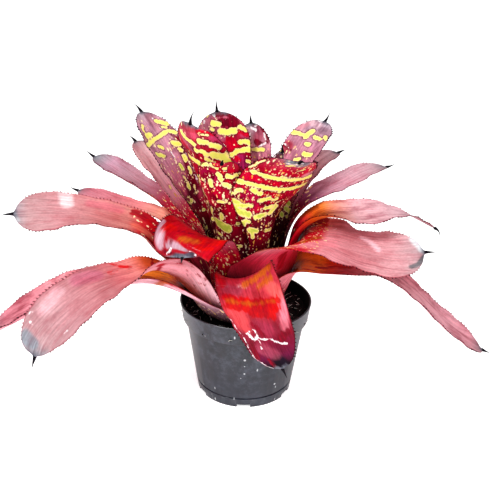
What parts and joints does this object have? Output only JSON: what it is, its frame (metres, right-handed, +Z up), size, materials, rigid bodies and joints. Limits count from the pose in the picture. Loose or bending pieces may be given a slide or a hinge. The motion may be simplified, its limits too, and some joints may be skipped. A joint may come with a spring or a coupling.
{
  "type": "neoregelia bromeliad in a nursery pot",
  "caption": "Spreading bromeliad with an upright yellow-blotched cup of crimson leaves over long pink and red strap leaves, planted in a plain round dark plastic pot of soil.",
  "frame": {"origin": "centre of the pot's foot, on the surface that it stands on", "axes": "+Z up along the pot's axis, -Y towards the viewer's side where the bright red leaf hangs over the rim, +X to the viewer's right"},
  "size_m": [0.4636, 0.3346, 0.2858],
  "materials": {
    "pot_plastic": "satin",
    "soil": "matte",
    "stem": "matte",
    "leaf_spotted": "satin",
    "leaf_red": "satin",
    "leaf_pink": "satin"
  },
  "bodies": {
    "root": {"pot": "pot_plastic", "soil": "soil", "stem": "stem", "leaf_heart_front": "leaf_spotted", "leaf_heart_back": "leaf_spotted", "leaf_cup_right": "leaf_spotted", "leaf_cup_back_right": "leaf_spotted", "leaf_cup_back": "leaf_spotted", "leaf_cup_left": "leaf_spotted", "leaf_cup_front_left": "leaf_spotted", "leaf_cup_front_right": "leaf_spotted", "leaf_upright_right": "leaf_spotted", "leaf_upright_left": "leaf_spotted", "leaf_plain_left": "leaf_pink", "leaf_plain_right": "leaf_pink", "leaf_narrow_left": "leaf_pink", "leaf_pale_right": "leaf_pink", "leaf_back_left": "leaf_pink", "leaf_curled_front_left": "leaf_red", "leaf_back_right": "leaf_pink", "leaf_dry_tip_right": "leaf_red", "leaf_salmon_left": "leaf_pink", "leaf_broad_left": "leaf_pink", "leaf_broad_right": "leaf_pink", "leaf_back": "leaf_pink", "leaf_drooping_right": "leaf_red", "leaf_red_front": "leaf_red", "leaf_drooping_left": "leaf_pink", "leaf_lowest_left": "leaf_red"}
  },
  "joints": []
}
